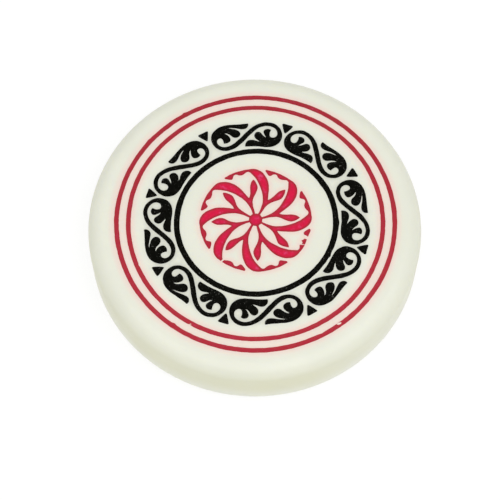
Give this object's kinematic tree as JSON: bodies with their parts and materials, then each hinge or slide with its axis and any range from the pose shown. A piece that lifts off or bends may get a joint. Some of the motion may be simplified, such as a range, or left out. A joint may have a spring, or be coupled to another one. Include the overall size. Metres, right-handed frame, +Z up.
{
  "type": "carrom striker",
  "caption": "Thick round ivory-coloured game disc with rounded rims, its faces cut with red ring lines, a red bladed rosette and a black scroll band, all lacquer filled.",
  "frame": {"origin": "centre of the underside", "axes": "+Z up through the disc, out of its top face; -Y is the side nearest the viewer in the usual three-quarter view, +X is to the right there"},
  "size_m": [0.0412, 0.0412, 0.0085],
  "materials": {
    "ivory_body": "gloss",
    "red_lacquer": "gloss",
    "black_lacquer": "gloss"
  },
  "bodies": {
    "root": {"striker_body": "ivory_body", "top_outer_ring_fill": "red_lacquer", "top_inner_ring_fill": "red_lacquer", "top_rosette_fill": "red_lacquer", "bottom_outer_ring_fill": "red_lacquer", "bottom_inner_ring_fill": "red_lacquer", "bottom_rosette_fill": "red_lacquer", "top_border_ring_fill": "black_lacquer", "top_scroll_fill_1": "black_lacquer", "top_scroll_fill_2": "black_lacquer", "top_scroll_fill_3": "black_lacquer", "top_scroll_fill_4": "black_lacquer", "top_scroll_fill_5": "black_lacquer", "top_scroll_fill_6": "black_lacquer", "top_scroll_fill_7": "black_lacquer", "top_scroll_fill_8": "black_lacquer", "top_spandrel_fill_1": "black_lacquer", "top_spandrel_fill_2": "black_lacquer", "top_spandrel_fill_3": "black_lacquer", "top_spandrel_fill_4": "black_lacquer", "top_spandrel_fill_5": "black_lacquer", "top_spandrel_fill_6": "black_lacquer", "top_spandrel_fill_7": "black_lacquer", "top_spandrel_fill_8": "black_lacquer", "bottom_border_ring_fill": "black_lacquer", "bottom_scroll_fill_1": "black_lacquer", "bottom_scroll_fill_2": "black_lacquer", "bottom_scroll_fill_3": "black_lacquer", "bottom_scroll_fill_4": "black_lacquer", "bottom_scroll_fill_5": "black_lacquer", "bottom_scroll_fill_6": "black_lacquer", "bottom_scroll_fill_7": "black_lacquer", "bottom_scroll_fill_8": "black_lacquer", "bottom_spandrel_fill_1": "black_lacquer", "bottom_spandrel_fill_2": "black_lacquer", "bottom_spandrel_fill_3": "black_lacquer", "bottom_spandrel_fill_4": "black_lacquer", "bottom_spandrel_fill_5": "black_lacquer", "bottom_spandrel_fill_6": "black_lacquer", "bottom_spandrel_fill_7": "black_lacquer", "bottom_spandrel_fill_8": "black_lacquer"}
  },
  "joints": []
}
